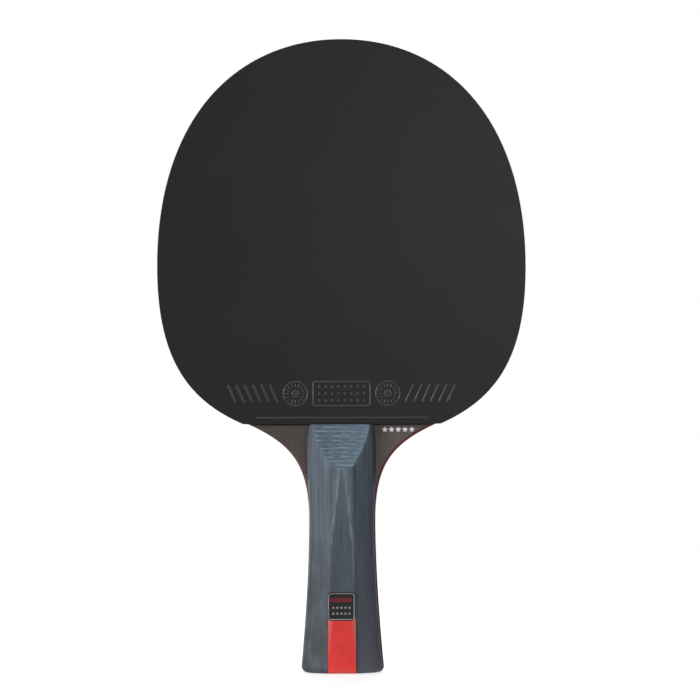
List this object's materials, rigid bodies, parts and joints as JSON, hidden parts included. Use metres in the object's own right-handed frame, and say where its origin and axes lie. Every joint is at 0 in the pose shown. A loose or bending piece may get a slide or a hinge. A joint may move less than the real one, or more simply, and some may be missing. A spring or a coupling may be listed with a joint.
{
  "type": "table tennis paddle",
  "caption": "Table tennis paddle: laminated wooden blade with a flared handle, pimples-in rubber on sponge on both faces, black in front and red behind.",
  "frame": {"origin": "middle of the flat butt of the handle, at the level that the paddle stands on", "axes": "+Z from the butt to the top of the head; -Y out of the black rubber; +X to the right when looking at the black rubber"},
  "size_m": [0.15, 0.0242, 0.2581],
  "materials": {
    "core_wood": "lacquered red on its edges",
    "cross_veneer": "lacquered red on its edges",
    "stained_veneer": "dark stain, satin",
    "sponge": "closed-cell foam, matt",
    "black_rubber": "moulded, dull sheen",
    "red_rubber": "moulded, dull sheen",
    "blue_grey_wood": "blue-grey stain, satin",
    "red_lacquer": "gloss",
    "badge_metal": "polished rim",
    "badge_print": "printed, semi-gloss"
  },
  "bodies": {
    "root": {"core_ply": "core_wood", "front_inner_ply": "cross_veneer", "back_inner_ply": "cross_veneer", "front_outer_ply": "stained_veneer", "back_outer_ply": "stained_veneer", "front_sponge": "sponge", "back_sponge": "sponge", "front_topsheet": "black_rubber", "back_topsheet": "red_rubber", "front_handle_scale": "blue_grey_wood", "back_handle_scale": "blue_grey_wood", "front_handle_inlay": "red_lacquer", "back_handle_inlay": "red_lacquer", "badge_plate": "badge_metal", "badge_panel": "badge_print"}
  },
  "joints": []
}
